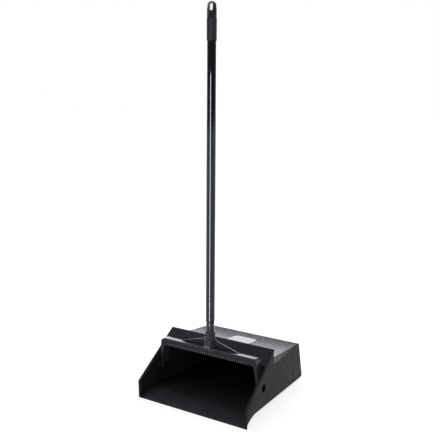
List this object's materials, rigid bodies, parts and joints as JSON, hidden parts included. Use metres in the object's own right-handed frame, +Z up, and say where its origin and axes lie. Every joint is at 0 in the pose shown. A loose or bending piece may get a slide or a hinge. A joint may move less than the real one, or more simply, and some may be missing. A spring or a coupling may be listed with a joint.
{
  "type": "lobby dustpan",
  "caption": "Lobby dustpan: a black open-fronted hopper pan pivoting in a combed yoke under a long upright tube handle with a grip and hang cap.",
  "frame": {"origin": "on the floor, halfway between the pan's two sides and between its lip and its rear edge", "axes": "+X to the pan's right seen from in front of the mouth, +Y from the lip to the back, +Z up along the handle"},
  "size_m": [0.3218, 0.336, 0.9735],
  "materials": {
    "pan_plastic": "satin",
    "yoke_plastic": "satin",
    "pin_plastic": "satin",
    "clip_steel": "satin",
    "coated_tube": "gloss",
    "grip_rubber": "matte",
    "grip_plastic": "satin"
  },
  "bodies": {
    "pan": {"pan_body": "pan_plastic", "pivot_pin_left": "pin_plastic", "pivot_pin_right": "pin_plastic"},
    "handle": {"yoke": "yoke_plastic", "pin_clip_left": "clip_steel", "pin_clip_right": "clip_steel", "threaded_tip": "grip_plastic", "handle_tube": "coated_tube", "grip_sleeve": "grip_rubber", "hang_cap": "grip_plastic"}
  },
  "joints": [
    {"name": "handle_swing", "type": "hinge", "parent": "pan", "child": "handle", "pos_m": [0, -0.075, 0.0645], "axis": [1, 0, 0], "range_deg": [0, 90]}
  ]
}
